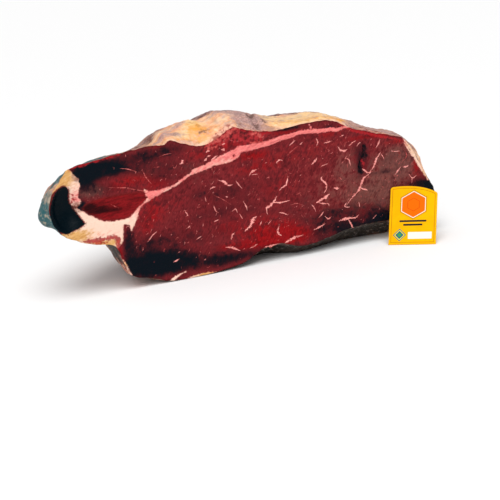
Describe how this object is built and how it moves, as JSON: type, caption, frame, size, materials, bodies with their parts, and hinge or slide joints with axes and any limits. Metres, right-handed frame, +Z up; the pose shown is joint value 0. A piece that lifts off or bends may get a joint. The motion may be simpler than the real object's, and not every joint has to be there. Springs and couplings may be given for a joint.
{
  "type": "cured beef piece",
  "caption": "Large piece of air-dried cured beef, cut open lengthwise to show marbled dark red meat under a fatty, mould-dusted rind, with a small blank quality card leaning on it.",
  "frame": {"origin": "on the flat underside, below the middle of the piece's length, 50 mm behind the cut face", "axes": "+X along the cut face to the viewer's right, -Y out of the cut face, +Z up"},
  "size_m": [0.3768, 0.1614, 0.1329],
  "materials": {
    "meat": "dark red cut meat with cream fat, satin, under a matte dried rind",
    "card": "yellow printed card, semi-gloss"
  },
  "bodies": {
    "root": {"cecina": "meat", "tag": "card"}
  },
  "joints": []
}
